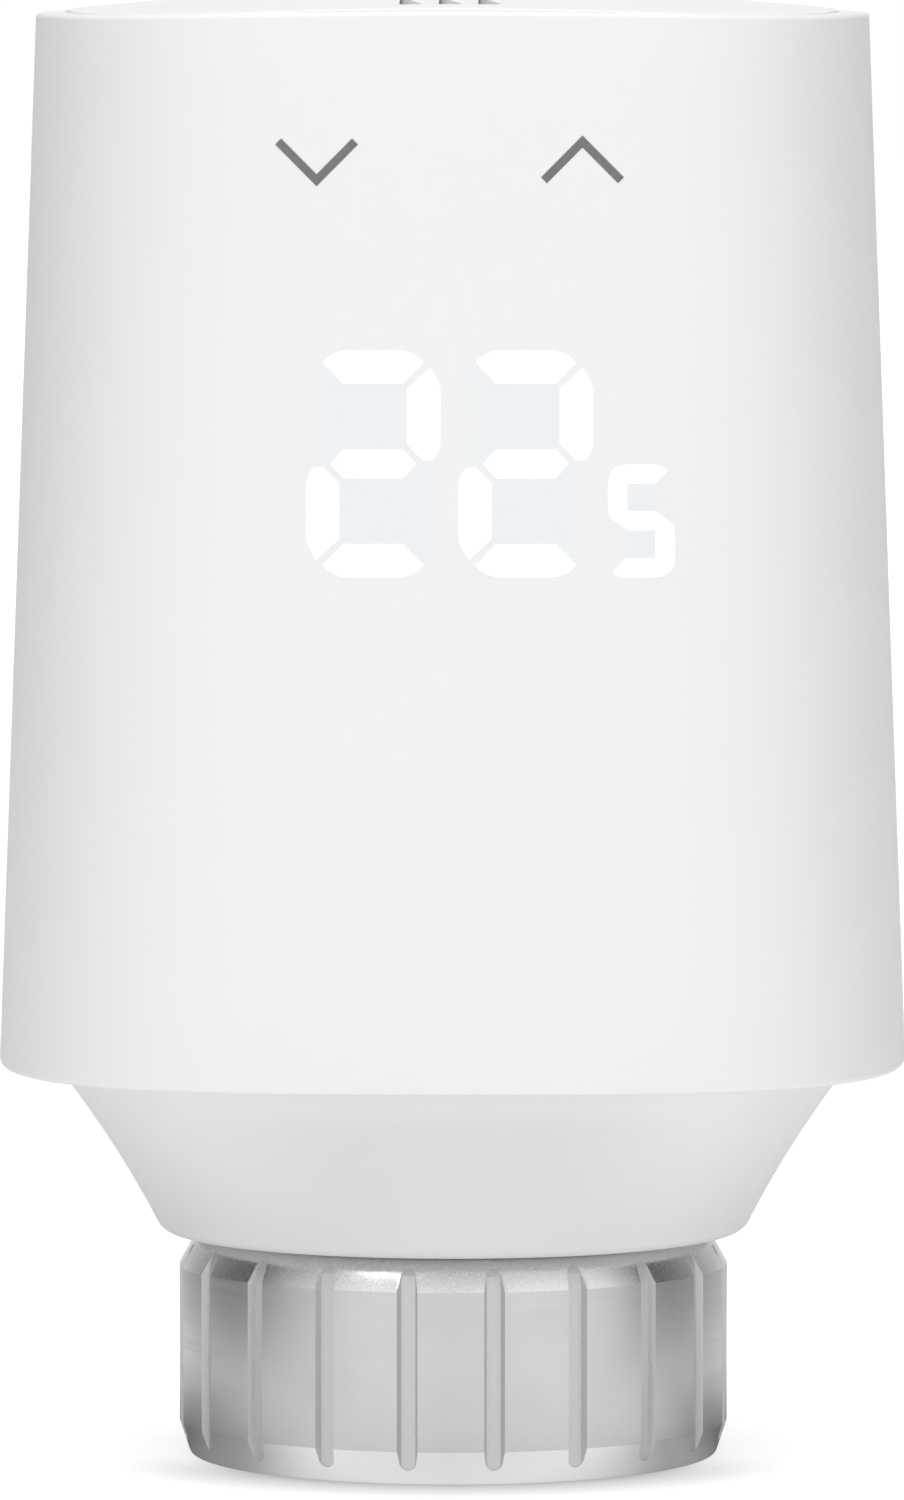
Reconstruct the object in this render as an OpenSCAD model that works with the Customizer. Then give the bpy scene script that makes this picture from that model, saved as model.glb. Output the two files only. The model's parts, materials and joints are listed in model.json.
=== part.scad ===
// Electronic radiator thermostat head: a tapered, rounded-square housing on a flared collar,
// with an M30 x 1.5 union nut below, a geared motor that drives a plunger, and two AA cells.
// Units are millimetres. +Z is up, the front faces -Y, and Z = 0 is the nut's open end face.

/* [Housing shell] */
// Width of the shell at its lower rim
body_w = 55.8; // [55.4:0.1:68]
// Width of the shell at its upper edge
body_top_w = 51.1; // [51:0.1:62]
// Height from the collar's lower rim to the shell's upper edge
head_h = 75.35; // [75:0.05:92]
// Thickness of the shell's wall
shell_wall = 1.6; // [1.2:0.1:2.4]
// How square the plan is: 2 is a circle, and higher is squarer
squareness = 3.2; // [2.4:0.1:4]
// Radius of the rounding along the upper edge
rim_round = 0.4; // [0.2:0.1:0.8]

/* [Battery cover] */
// Width of the shell's ring around the cover
rim_w = 1.85; // [1.2:0.05:3]
// Radius of the crown across the top
crown_r = 230; // [150:10:600]
// Gap between the cover and the shell
cover_gap = 0.12; // [0.08:0.01:0.25]
// Thickness of the cover's edge above its ledge
cover_edge_t = 1.6; // [1.2:0.1:2.4]
// Height of the skirt that plugs into the shell
cover_skirt_h = 3.2; // [2:0.1:5]
// Thickness of the skirt
cover_skirt_t = 1.2; // [0.8:0.1:2]
// Number of wedge-shaped grip notches
notch_count = 3; // [1:1:5]
// Width of one notch
notch_w = 1.4; // [0.8:0.1:2]
// Distance between notches
notch_pitch = 2.36; // [1.6:0.02:4]
// Length of a notch
notch_len = 5.5; // [2:0.5:10]
// Depth of a notch at its front edge
notch_depth = 0.5; // [0.2:0.05:0.9]
// Distance from the front edge of the cover to the notches
notch_inset = 2.7; // [1.5:0.1:6]

/* [Collar] */
// Radius of the collar at its lower rim
collar_r = 18.1; // [18.1:0.05:22]
// How far the collar's top edge sits inside the shell's wall
collar_inset = 3.35; // [2.5:0.05:3.5]
// Height of the visible collar
collar_h = 10.95; // [9:0.05:13.5]
// How much of the flare is curved
collar_curve = 0.2; // [0:0.05:0.6]
// Thickness of the collar's wall
collar_wall = 1.7; // [1.2:0.1:2.4]
// Thickness of the collar's floor
collar_floor = 2; // [1.5:0.1:3]
// Height of the lip that plugs into the shell
collar_lip_h = 4.3; // [3:0.1:8]

/* [Union nut] */
// Outer radius of the nut
nut_r = 17; // [16.6:0.1:19]
// Height of the nut
nut_h = 13.75; // [11:0.05:18]
// Radius of the thread's crests, which is 14.19 for M30 x 1.5
thread_r = 14.19; // [13.5:0.01:15]
// Length of the thread
thread_len = 8; // [6:0.1:10]
// Number of grip grooves
groove_count = 20; // [12:1:30]
// Width of a groove at the surface
groove_w = 1.27; // [0.8:0.01:2]
// Width of a groove's floor
groove_floor_w = 0.87; // [0.4:0.01:1.4]
// Depth of a groove
groove_depth = 0.46; // [0.2:0.02:0.8]
// Gap between the nut and the collar
nut_gap = 0.2; // [0.1:0.05:0.5]

/* [Neck] */
// Outer radius of the neck that the nut turns on
neck_r = 12.5; // [11.5:0.05:13]
// Radial clearance of turning and sliding fits
running = 0.08; // [0.03:0.01:0.1]
// Thickness of the neck's flange
flange_t = 2; // [1.5:0.1:3]
// Radius of the recess that takes the valve's gland
recess_r = 10.6; // [9:0.1:11]
// Depth of that recess
recess_h = 5.8; // [4:0.1:7]
// Thickness of the retaining ring
ring_t = 0.9; // [0.6:0.1:1.2]

/* [Plunger] */
// Radius of the plunger
plunger_r = 5; // [4:0.1:6]
// Radius of the plunger's screw
screw_r = 2.5; // [2:0.05:2.8]
// Travel of the plunger
stroke = 4.5; // [3:0.1:5]
// Height of the plunger's tip when it is drawn in
tip_z = 12.6; // [11.5:0.1:13]

/* [Gears] */
// Module of the gears
gear_m = 0.4; // [0.38:0.01:0.42]
// Teeth on the motor's pinion
motor_teeth = 10; // [9:1:13]
// Teeth on the first gear's wheel, which the motor drives
first_wheel_teeth = 36; // [30:1:38]
// Teeth on the first gear's pinion
first_pinion_teeth = 12; // [10:1:14]
// Teeth on the second gear's wheel
second_wheel_teeth = 34; // [28:1:36]
// Teeth on the second gear's pinion
second_pinion_teeth = 12; // [10:1:14]
// Teeth on the drive gear
drive_teeth = 44; // [40:1:46]
// Amount that each tooth is thinned for backlash
backlash = 0.12; // [0.08:0.01:0.16]
// Radius of the gears' axles
axle_r = 0.75; // [0.6:0.05:0.9]

/* [Motor] */
// Radius of the motor's can
motor_r = 7.7; // [6:0.1:7.8]
// Length of the motor's can
motor_h = 20; // [14:0.5:24]
// Radius of the motor's shaft
shaft_r = 0.5; // [0.4:0.05:0.6]

/* [Cells] */
// Radius of a cell, 7.25 for size AA
cell_r = 7.25; // [7:0.05:7.25]
// Length of a cell, 50.5 for size AA
cell_h = 50.5; // [49:0.1:50.5]
// Clearance around a cell
cell_gap = 0.2; // [0.1:0.05:0.4]
// Wall of the cell tubes
tube_wall = 1.15; // [0.8:0.05:1.6]

/* [Electronics] */
// Width of the circuit board
board_w = 31; // [28:0.5:32]
// Height of the circuit board
board_h = 48; // [44:0.5:48]
// Thickness of the circuit board
board_t = 1.2; // [0.8:0.1:1.6]
// Height of the two large digits
digit_h = 13.6; // [10:0.1:14]
// Width of a large digit
digit_w = 8.1; // [6:0.1:8.4]
// Distance between the large digits
digit_pitch = 9.1; // [8.5:0.1:10]
// Height of the middle of the digits above the shell's lower rim
digit_rise = 37.55; // [34:0.05:40]
// Half the distance between the two touch keys
key_x = 7.9; // [6:0.1:12]
// Height of the touch keys above the shell's lower rim
key_rise = 55.55; // [52:0.05:56.5]

/* [Hidden] */
$fn = 64;
plan_steps = 96;       // points around a lofted ring
eps = 0.01;
overlap = 1;           // how far a cutting tool runs past a face
front = -90;           // direction of the front, in degrees

// Heights, from the nut upwards
thread_z = 0.6;
flange_z = thread_z + thread_len + 0.2;
lip_z = flange_z + flange_t + 0.2;
collar_z = nut_h + nut_gap;
floor_z = collar_z + collar_floor;
shell_z = collar_z + collar_h;
edge_z = collar_z + head_h;
digit_z = shell_z + digit_rise;
key_z = shell_z + key_rise;
ring_z = floor_z + 0.1;
neck_top_z = ring_z + ring_t + 1;
base_z = neck_top_z + 2.2;
base_t = 2;
gear_z = base_z + base_t + 0.6;
drive_t = 3;
lid_z = base_z + base_t + 9.6;
lid_t = 1.4;
tray_z = lid_z + lid_t + 0.1;
tray_t = 1.5;
cell_z = tray_z + tray_t + 2.2;

// Widths of the shell and its cover
half_low = body_w / 2;
half_top = body_top_w / 2;
taper = (half_low - half_top) / (edge_z - shell_z);
cover_half = half_top - rim_w;
crown_z = edge_z + pow(half_top, 2) / (2 * crown_r);
cover_seat_z = edge_z + (pow(half_top, 2) - pow(cover_half, 2)) / (2 * crown_r) - cover_edge_t;
ledge_w = 1.05;
ledge_t = 1.5;
skirt_half = cover_half - ledge_w - 0.3;
collar_half = half_low - collar_inset;
lip_half = half_low - shell_wall - 0.15;

// Gear train: the drive gear is on the axis, and the rest steps round the front
hub_r = screw_r + 1.1;
journal_r = 6.5;
second_angle = 225;
first_angle = -40;
motor_angle = 30;
second_xy = polar(gear_m * (drive_teeth + second_pinion_teeth) / 2, second_angle);
first_xy = second_xy + polar(gear_m * (second_wheel_teeth + first_pinion_teeth) / 2, first_angle);
motor_xy = first_xy + polar(gear_m * (first_wheel_teeth + motor_teeth) / 2, motor_angle);
wheel_t = 2;
second_wheel_z = gear_z + drive_t + 0.6;
first_wheel_z = second_wheel_z + wheel_t + 0.6;

// Radii of the plates that stack up inside, and of the plunger's guide
base_r = 19.2;
lid_r = 21.8;
tray_r = 22.3;
guide_r = plunger_r + 3.2;

// Screws and pillars, as angles around the axis
pillar_at = [165, 90, 35, 345];
pillar_r = 2.3;
pillar_place_r = 17.1;
boss_at = [50, 130, 240, 300];
boss_r = 1.7;
boss_place_r = neck_r + 3.1;
screw_shank_r = 0.9;
screw_head_r = 1.7;

// Cells, board and display
cell_x = cell_r + cell_gap + 0.35;
cell_y = 12.6;
tube_r = cell_r + cell_gap + tube_wall;
tube_top_z = cell_z + cell_h - 5.5;
board_y = -18.6;
board_z = tray_z + tray_t + 1;
small_digit_x = 11.45;
small_digit_w = 4.1;
small_digit_h = 6.86;

function polar(r, a) = [r * cos(a), r * sin(a)];
function plan_r(half, n, a) = half / pow(pow(abs(cos(a)), n) + pow(abs(sin(a)), n), 1 / n);
function crown_at(p) = (pow(p[0], 2) + pow(p[1], 2)) / (2 * crown_r);
function shell_half(z) = half_low - taper * (z - shell_z);

// One ring of a loft: [half width, squareness, height, share of the crown that it follows]
function ring_points(ring) = [
    for (i = [0 : plan_steps - 1])
        let (a = 360 * i / plan_steps, p = polar(plan_r(ring[0], ring[1], a), a))
            [p[0], p[1], ring[2] - ring[3] * crown_at(p)]
];
function ring_faces(lower, upper) = [
    for (i = [0 : plan_steps - 1])
        let (j = (i + 1) % plan_steps, a = lower * plan_steps, b = upper * plan_steps)
            each [[a + i, b + i, b + j], [a + i, b + j, a + j]]
];
function flat(half, z, n = squareness) = [half, n, z, 0];
function crowned(half, z = crown_z, share = 1) = [half, squareness, z, share];

// A loft through rings from the first to the last, closed by flat ends
module loft(rings) {
    last = len(rings) - 1;
    points = [for (ring = rings) each ring_points(ring)];
    sides = [for (k = [0 : last - 1]) each ring_faces(k, k + 1)];
    first_end = [for (i = [0 : plan_steps - 1]) i];
    last_end = [for (i = [plan_steps - 1 : -1 : 0]) last * plan_steps + i];
    polyhedron(points, concat(sides, [first_end, last_end]), convexity = 6);
}

// A loft through rings that closes on itself, such as a tube with a wall
module loft_loop(rings) {
    count = len(rings);
    points = [for (ring = rings) each ring_points(ring)];
    polyhedron(points, [for (k = [0 : count - 1]) each ring_faces(k, (k + 1) % count)], convexity = 8);
}

module tube(r_out, r_in, h) {
    difference() {
        cylinder(r = r_out, h = h);
        translate([0, 0, -overlap]) cylinder(r = r_in, h = h + 2 * overlap);
    }
}

module at_angles(angles, r) {
    for (a = angles) translate(polar(r, a)) children();
}

// ---- Housing ----

module main_shell() {
    edge_base = edge_z + 0.5 * pow(half_top, 2) / (2 * crown_r);
    inner_top_z = cover_seat_z - ledge_t - 1.4;
    color("white") loft_loop(concat(
        [flat(half_low - 0.25, shell_z), flat(half_low, shell_z + 0.25)],
        [for (a = [0 : 22.5 : 90])
            crowned(half_top - rim_round * (1 - cos(a)), edge_base - rim_round * (1 - sin(a)), 0.5)],
        [
            crowned(cover_half + 0.15),
            crowned(cover_half, crown_z - 0.12),
            flat(cover_half, cover_seat_z),
            flat(cover_half - ledge_w, cover_seat_z),
            flat(cover_half - ledge_w, cover_seat_z - ledge_t),
            flat(shell_half(inner_top_z) - shell_wall, inner_top_z),
            flat(half_low - shell_wall, shell_z)
        ]
    ));
}

module battery_cover() {
    half = cover_half - cover_gap;
    under_z = cover_seat_z + 0.6;
    skirt_z = cover_seat_z - cover_skirt_h;
    color("white") difference() {
        loft(concat(
            [
                flat(skirt_half - cover_skirt_t, under_z),
                flat(skirt_half - cover_skirt_t, skirt_z),
                flat(skirt_half, skirt_z),
                flat(skirt_half, cover_seat_z + 0.05),
                flat(half, cover_seat_z + 0.05),
                crowned(half, crown_z - 0.15),
                crowned(half - 0.15)
            ],
            [for (share = [0.85, 0.68, 0.5, 0.3, 0.1]) crowned(half * share)]
        ));
        for (i = [0 : notch_count - 1])
            translate([(i - (notch_count - 1) / 2) * notch_pitch - notch_w / 2, 0, 0]) grip_notch();
    }
}

// A recess with upright walls, three-sided in plan and widest at its front
module grip_notch() {
    front_y = -(cover_half - notch_inset);
    floor_z = crown_z - crown_at([0, front_y]) - notch_depth;
    translate([0, 0, floor_z])
        linear_extrude(crown_z - floor_z + overlap)
            polygon([[0, front_y], [notch_w, front_y], [0, front_y + notch_len]]);
}

module cover_contact_bridge() {
    top_z = cover_seat_z + 0.6;
    color("silver") {
        translate([-cell_x - 3, cell_y - 3.5, top_z - 0.3]) cube([2 * cell_x + 6, 7, 0.3]);
        for (x = [-cell_x, cell_x])
            translate([x, cell_y, cell_z + cell_h + 0.05])
                cylinder(r1 = 1.6, r2 = 2.4, h = top_z - 0.2 - cell_z - cell_h);
    }
}

function collar_profile(t) =
    collar_r + (collar_half - collar_r) * ((1 - collar_curve) * t + collar_curve * t * t);
function collar_n(t) = 2 + (squareness - 2) * t;

module lower_collar() {
    steps = 8;
    start = 0.07;
    floor_t = collar_floor / collar_h;
    lip_z = shell_z + 0.3;
    lip_top_z = lip_z + collar_lip_h;
    color("gainsboro") difference() {
        union() {
            loft_loop(concat(
                [flat(collar_r - 0.75, collar_z, 2), flat(collar_r - 0.2, collar_z + 0.2, 2)],
                [for (k = [0 : steps])
                    let (t = start + (1 - start) * k / steps)
                        flat(collar_profile(t), collar_z + t * collar_h, collar_n(t))],
                [
                    flat(collar_half, lip_z),
                    flat(lip_half, lip_z),
                    flat(lip_half - taper * collar_lip_h, lip_top_z),
                    flat(collar_half - collar_wall, lip_top_z)
                ],
                [for (k = [steps : -1 : 0])
                    let (t = floor_t + (1 - floor_t) * k / steps)
                        flat(collar_profile(t) - collar_wall, collar_z + t * collar_h, collar_n(t))],
                [flat(neck_r - 3, floor_z, 2), flat(neck_r - 3, collar_z, 2)]
            ));
            translate([0, 0, floor_z - 0.5])
                at_angles(boss_at, boss_place_r) cylinder(r = boss_r, h = base_z - floor_z + 0.5);
        }
        translate([0, 0, collar_z - overlap]) neck_plan(neck_r + 0.05, collar_floor + 2 * overlap);
        translate([0, 0, floor_z + 0.6]) at_angles(boss_at, boss_place_r) cylinder(r = screw_shank_r, h = 9);
    }
}

// ---- Nut and neck ----

module union_nut() {
    entry = 0.7;
    undercut_r = thread_r + 1;
    color("silver") difference() {
        rotate_extrude() polygon([
            [thread_r + entry, 0], [nut_r - 0.85, 0], [nut_r - 0.66, 0.1], [nut_r - 0.54, 0.37],
            [nut_r, 2.1], [nut_r, nut_h - 1.95], [nut_r - 0.66, nut_h - 0.75], [nut_r - 0.95, nut_h - 0.35],
            [nut_r - 1.5, nut_h], [neck_r + running, nut_h],
            [neck_r + running, lip_z], [undercut_r, lip_z], [undercut_r, thread_z + thread_len],
            [thread_r, thread_z + thread_len], [thread_r, entry]
        ]);
        for (i = [0 : groove_count - 1])
            rotate([0, 0, front + (i + 0.5) * 360 / groove_count]) grip_groove();
    }
}

module grip_groove() {
    slope = (groove_w - groove_floor_w) / 2 / groove_depth;
    translate([nut_r - groove_depth, 0, -overlap])
        linear_extrude(nut_h + 2 * overlap)
            polygon([
                [0, -groove_floor_w / 2],
                [2, -groove_floor_w / 2 - 2 * slope],
                [2, groove_floor_w / 2 + 2 * slope],
                [0, groove_floor_w / 2]
            ]);
}

// The neck's plan above the nut: round, with two flats that stop it turning in the collar
module neck_plan(r, h) {
    flat_x = neck_r - 0.9 + r - neck_r;
    intersection() {
        cylinder(r = r, h = h);
        translate([-flat_x, -r - overlap, 0]) cube([2 * flat_x, 2 * (r + overlap), h]);
    }
}

module neck_bush() {
    guide_z = flange_z + recess_h;
    boss_top_z = base_z - 0.2;
    color("dimgray") difference() {
        union() {
            translate([0, 0, flange_z]) cylinder(r = thread_r - 0.09, h = flange_t);
            translate([0, 0, flange_z]) cylinder(r = neck_r, h = collar_z - flange_z);
            translate([0, 0, collar_z - eps]) neck_plan(neck_r, neck_top_z - collar_z + eps);
            translate([0, 0, neck_top_z - eps]) cylinder(r = guide_r, h = boss_top_z - neck_top_z + eps);
        }
        translate([0, 0, flange_z - overlap]) cylinder(r = recess_r, h = recess_h + overlap);
        translate([0, 0, guide_z - overlap]) cylinder(r = plunger_r + running, h = 10);
        translate([0, 0, guide_z - overlap]) plunger_lugs(running, 10);
        translate([0, 0, ring_z - 0.05]) tube(neck_r + 1, neck_r - 1, ring_t + 0.1);
    }
}

module neck_retaining_ring() {
    color("silver") translate([0, 0, ring_z]) difference() {
        tube(neck_r + 1.3, neck_r - 0.95, ring_t);
        translate([0, 0, -overlap]) linear_extrude(ring_t + 2 * overlap)
            polygon([[0, 0], polar(30, 82), polar(30, 98)]);
    }
}

// ---- Plunger ----

module plunger_lugs(gap, h) {
    reach = plunger_r + 1.5 + gap;
    width = 2 + 2 * gap;
    translate([-reach, -width / 2, 0]) cube([2 * reach, width, h]);
}

module plunger() {
    body_z = tip_z + 0.6;
    head_top_z = base_z - 0.1;
    screw_top_z = lid_z + lid_t + 1.1;
    color("ivory") difference() {
        union() {
            translate([0, 0, body_z]) cylinder(r = plunger_r, h = head_top_z - body_z);
            translate([0, 0, head_top_z - stroke]) plunger_lugs(0, stroke - 0.5);
            translate([0, 0, head_top_z - eps]) cylinder(r = screw_r, h = screw_top_z - head_top_z);
        }
        translate([0, 0, body_z - overlap]) cylinder(r = 1.5, h = 3 + overlap);
    }
}

module plunger_tip() {
    color("silver") {
        translate([0, 0, tip_z]) cylinder(r = 4, h = 0.6);
        translate([0, 0, tip_z]) cylinder(r = 1.5, h = 3.4);
    }
}

// ---- Gear train ----

function involute(a) = tan(a) * 180 / PI - a;
function flank_angle(r, pitch_r, half_tooth) =
    half_tooth + involute(20) - involute(acos(min(1, pitch_r * cos(20) / r)));

// Involute gear with one tooth centred on the X axis; turn is added to it
module gear(teeth, h, bore_r, turn = 0) {
    pitch_r = gear_m * teeth / 2;
    root_r = pitch_r - 1.3 * gear_m;
    tip_r = pitch_r + 0.9 * gear_m;
    half_tooth = (PI * gear_m - 2 * backlash) / 4 / pitch_r * 180 / PI;
    start_r = max(root_r, pitch_r * cos(20));
    radii = [root_r, start_r, (start_r + pitch_r) / 2, pitch_r, (pitch_r + tip_r) / 2, tip_r];
    flank = [for (r = radii) [r, flank_angle(max(r, start_r), pitch_r, half_tooth)]];
    points = [
        for (i = [0 : teeth - 1])
            each concat(
                [for (f = flank) polar(f[0], turn + 360 * i / teeth - f[1])],
                [for (k = [len(flank) - 1 : -1 : 0]) polar(flank[k][0], turn + 360 * i / teeth + flank[k][1])]
            )
    ];
    difference() {
        linear_extrude(h) polygon(points);
        translate([0, 0, -overlap]) cylinder(r = bore_r, h = h + 2 * overlap);
    }
}

// Turn that puts a gap of a wheel at the angle towards the gear that drives it
function gap_turn(teeth, angle) = angle + 180 + 180 / teeth;

module drive_gear() {
    color("ivory") {
        difference() {
            union() {
                translate([0, 0, gear_z])
                    gear(drive_teeth, drive_t, screw_r + running, gap_turn(drive_teeth, second_angle + 180));
                translate([0, 0, base_z + 0.2]) cylinder(r = journal_r, h = gear_z - base_z);
                translate([0, 0, gear_z]) cylinder(r = hub_r, h = lid_z + 1 - gear_z);
            }
            translate([0, 0, base_z - overlap]) cylinder(r = screw_r + running, h = 30);
        }
    }
}

module compound_gear(wheel, wheel_z, wheel_turn, pinion, pinion_z, pinion_h, pinion_turn, hub_top_z) {
    difference() {
        union() {
            translate([0, 0, wheel_z]) gear(wheel, wheel_t, axle_r + running, wheel_turn);
            translate([0, 0, pinion_z]) gear(pinion, pinion_h, axle_r + running, pinion_turn);
            translate([0, 0, wheel_z]) cylinder(r = axle_r + 0.55, h = hub_top_z - wheel_z);
        }
        translate([0, 0, pinion_z - overlap]) cylinder(r = axle_r + running, h = 20);
    }
}

module second_gear() {
    color("ivory") translate(second_xy) compound_gear(
        second_wheel_teeth, second_wheel_z, gap_turn(second_wheel_teeth, first_angle + 180),
        second_pinion_teeth, gear_z - 0.3, second_wheel_z - gear_z + 0.3, second_angle + 180, lid_z - 0.3
    );
}

module first_gear() {
    color("ivory") translate(first_xy) compound_gear(
        first_wheel_teeth, first_wheel_z, gap_turn(first_wheel_teeth, motor_angle + 180),
        first_pinion_teeth, second_wheel_z - 0.2, first_wheel_z - second_wheel_z + 0.2,
        first_angle + 180, lid_z - 0.3
    );
}

module gear_axle(place) {
    low_z = base_z + 0.5;
    color("silver") translate([place[0], place[1], low_z]) cylinder(r = axle_r, h = lid_z + 1 - low_z);
}

module gearbox_base() {
    color("dimgray") difference() {
        union() {
            translate([0, 0, base_z]) cylinder(r = base_r, h = base_t);
            translate([0, 0, base_z])
                at_angles(pillar_at, pillar_place_r) cylinder(r = pillar_r, h = lid_z - base_z);
        }
        translate([0, 0, base_z - overlap]) cylinder(r = journal_r + running, h = base_t + 2 * overlap);
        for (place = [second_xy, first_xy])
            translate([place[0], place[1], base_z + 0.5]) cylinder(r = axle_r, h = base_t);
        translate([0, 0, base_z - overlap])
            at_angles(boss_at, boss_place_r) cylinder(r = screw_shank_r + 0.2, h = base_t + 2 * overlap);
        translate([0, 0, lid_z - 6]) at_angles(pillar_at, pillar_place_r) cylinder(r = screw_shank_r, h = 8);
    }
}

module gearbox_lid() {
    color("dimgray") translate([0, 0, lid_z]) difference() {
        cylinder(r = lid_r, h = lid_t);
        translate([0, 0, -overlap]) cylinder(r = hub_r + running, h = lid_t + 2 * overlap);
        for (place = [second_xy, first_xy])
            translate([place[0], place[1], -overlap]) cylinder(r = axle_r, h = 1 + overlap);
        translate([motor_xy[0], motor_xy[1], -overlap]) cylinder(r = 2.6, h = lid_t + 2 * overlap);
        translate([0, 0, -overlap])
            at_angles(pillar_at, pillar_place_r) cylinder(r = screw_shank_r + 0.2, h = lid_t + 2 * overlap);
    }
}

module thrust_washer() {
    color("silver") translate([0, 0, base_z + base_t + 0.05]) tube(8.4, journal_r + 0.15, 0.5);
}

module pan_screw(length) {
    difference() {
        union() {
            cylinder(r1 = screw_head_r, r2 = screw_head_r - 0.4, h = 1.1);
            translate([0, 0, -length]) cylinder(r = screw_shank_r, h = length + eps);
        }
        for (a = [0, 90])
            rotate([0, 0, a]) translate([-1.1, -0.2, 0.5]) cube([2.2, 0.4, 1]);
    }
}

module base_screws() {
    color("silver") translate([0, 0, base_z + base_t]) at_angles(boss_at, boss_place_r) pan_screw(5);
}

module lid_screws() {
    color("silver") translate([0, 0, lid_z + lid_t]) at_angles(pillar_at, pillar_place_r) pan_screw(6);
}

// ---- Motor ----

motor_z = lid_z + lid_t + 0.1;

module motor_can() {
    color("silver") translate([motor_xy[0], motor_xy[1], 0]) difference() {
        union() {
            translate([0, 0, motor_z]) cylinder(r = motor_r, h = motor_h);
            translate([0, 0, motor_z - 1.2]) cylinder(r = 2.5, h = 1.3);
        }
        translate([0, 0, motor_z + 0.8]) cylinder(r = motor_r - 0.6, h = motor_h);
        translate([0, 0, motor_z - 2]) cylinder(r = shaft_r + running, h = 5);
    }
}

module motor_magnets() {
    color("darkslategray") translate([motor_xy[0], motor_xy[1], motor_z + 3]) difference() {
        tube(motor_r - 0.6, motor_r - 1.7, motor_h - 7);
        for (a = [0, 180])
            rotate([0, 0, a]) translate([0, -1.5, -overlap]) cube([motor_r, 3, motor_h]);
    }
}

module motor_armature() {
    color("peru") translate([motor_xy[0], motor_xy[1], motor_z + 3.5]) difference() {
        cylinder(r = motor_r - 2.1, h = motor_h - 8);
        translate([0, 0, -overlap]) cylinder(r = shaft_r, h = motor_h);
        for (a = [0, 120, 240])
            rotate([0, 0, a]) translate([motor_r - 4.2, -0.5, -overlap]) cube([4, 1, motor_h]);
    }
}

module motor_shaft() {
    color("silver") translate([motor_xy[0], motor_xy[1], first_wheel_z - 0.4])
        cylinder(r = shaft_r, h = motor_z + motor_h - 0.2 - first_wheel_z);
}

module motor_pinion() {
    color("gold") translate([motor_xy[0], motor_xy[1], first_wheel_z - 0.2])
        gear(motor_teeth, wheel_t + 0.4, shaft_r, motor_angle + 180);
}

module motor_end_cap() {
    color("white") translate([motor_xy[0], motor_xy[1], motor_z + motor_h]) difference() {
        union() {
            cylinder(r = motor_r - 0.2, h = 1.2);
            translate([0, 0, -1.4]) cylinder(r = motor_r - 0.6, h = 1.5);
            cylinder(r = 2.6, h = 2);
        }
        translate([0, 0, -2]) cylinder(r = shaft_r + running, h = 3);
    }
}

module motor_terminals() {
    color("gold") translate([motor_xy[0], motor_xy[1], motor_z + motor_h + 1.2])
        for (x = [-4.6, 4.6])
            translate([x - 0.75, -0.2, 0]) cube([1.5, 0.4, 3]);
}

// ---- Cells and their tray ----

module battery_tray() {
    rail_h = board_h - 4;
    color("whitesmoke") difference() {
        union() {
            translate([0, 0, tray_z]) cylinder(r = tray_r, h = tray_t);
            for (x = [-cell_x, cell_x])
                translate([x, cell_y, tray_z]) cylinder(r = tube_r, h = tube_top_z - tray_z);
            translate([-cell_x, cell_y - tube_r, tray_z]) cube([2 * cell_x, 3, tube_top_z - tray_z]);
            for (side = [-1, 1]) translate([side * board_w / 2 - 1.6, board_y, tray_z]) {
                cube([3.2, board_t + 1.5, rail_h]);
                translate([0, -1.5, 0]) cube([3.2, 3, digit_z - digit_h / 2 - 4 - tray_z]);
            }
        }
        for (x = [-cell_x, cell_x])
            translate([x, cell_y, tray_z + tray_t]) cylinder(r = cell_r + cell_gap, h = cell_h + 10);
        translate([-board_w / 2 - 0.1, board_y - 0.05, tray_z + tray_t])
            cube([board_w + 0.2, board_t + 0.1, rail_h]);
        translate([motor_xy[0], motor_xy[1], tray_z - overlap]) cylinder(r = motor_r + 0.15, h = 5);
        translate([0, 0, tray_z - overlap]) cylinder(r = screw_r + 0.5, h = 5);
        translate([0, 0, tray_z - overlap]) at_angles(pillar_at, pillar_place_r) cylinder(r = 2.2, h = 2.4);
    }
}

// A cell standing on its base; its cap end has a nub
module cell() {
    cylinder(r = cell_r, h = cell_h - 1.2);
    translate([0, 0, cell_h - 1.2 - eps]) cylinder(r = 2.75, h = 1.2 + eps);
}

module battery_left() {
    color("darkgreen") translate([-cell_x, cell_y, cell_z]) cell();
}

module battery_right() {
    color("darkgreen") translate([cell_x, cell_y, cell_z + cell_h]) mirror([0, 0, 1]) cell();
}

module cell_spring_contact() {
    base = tray_z + tray_t;
    rise = (cell_z - base - 0.9) / 3;
    color("silver") translate([-cell_x, cell_y, base]) {
        cylinder(r = 5.4, h = 0.3);
        for (k = [0 : 3])
            translate([0, 0, 0.55 + k * rise])
                rotate_extrude() translate([4.2 - 0.45 * k, 0]) circle(r = 0.34);
    }
}

module cell_plate_contact() {
    base = tray_z + tray_t;
    color("silver") translate([cell_x, cell_y, base]) {
        cylinder(r = 5.4, h = 0.3);
        cylinder(r1 = 3.4, r2 = 2.4, h = cell_z - base - 0.02);
    }
}

// ---- Electronics ----

module circuit_board() {
    color("green") difference() {
        translate([-board_w / 2, board_y, board_z]) cube([board_w, board_t, board_h]);
        for (x = [-board_w / 2 + 3, board_w / 2 - 3], z = [board_z + 3, board_z + board_h - 3])
            translate([x, board_y - overlap, z])
                rotate([-90, 0, 0]) cylinder(r = 1.1, h = board_t + 2 * overlap);
    }
}

module radio_module() {
    back_y = board_y + board_t;
    color("silver") translate([-board_w / 2 + 2, back_y, digit_z - 5]) cube([12, 0.8, 18]);
    color("silver") translate([-board_w / 2 + 3, back_y + 0.8 - eps, digit_z - 4]) cube([10, 1.6, 11]);
}

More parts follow.
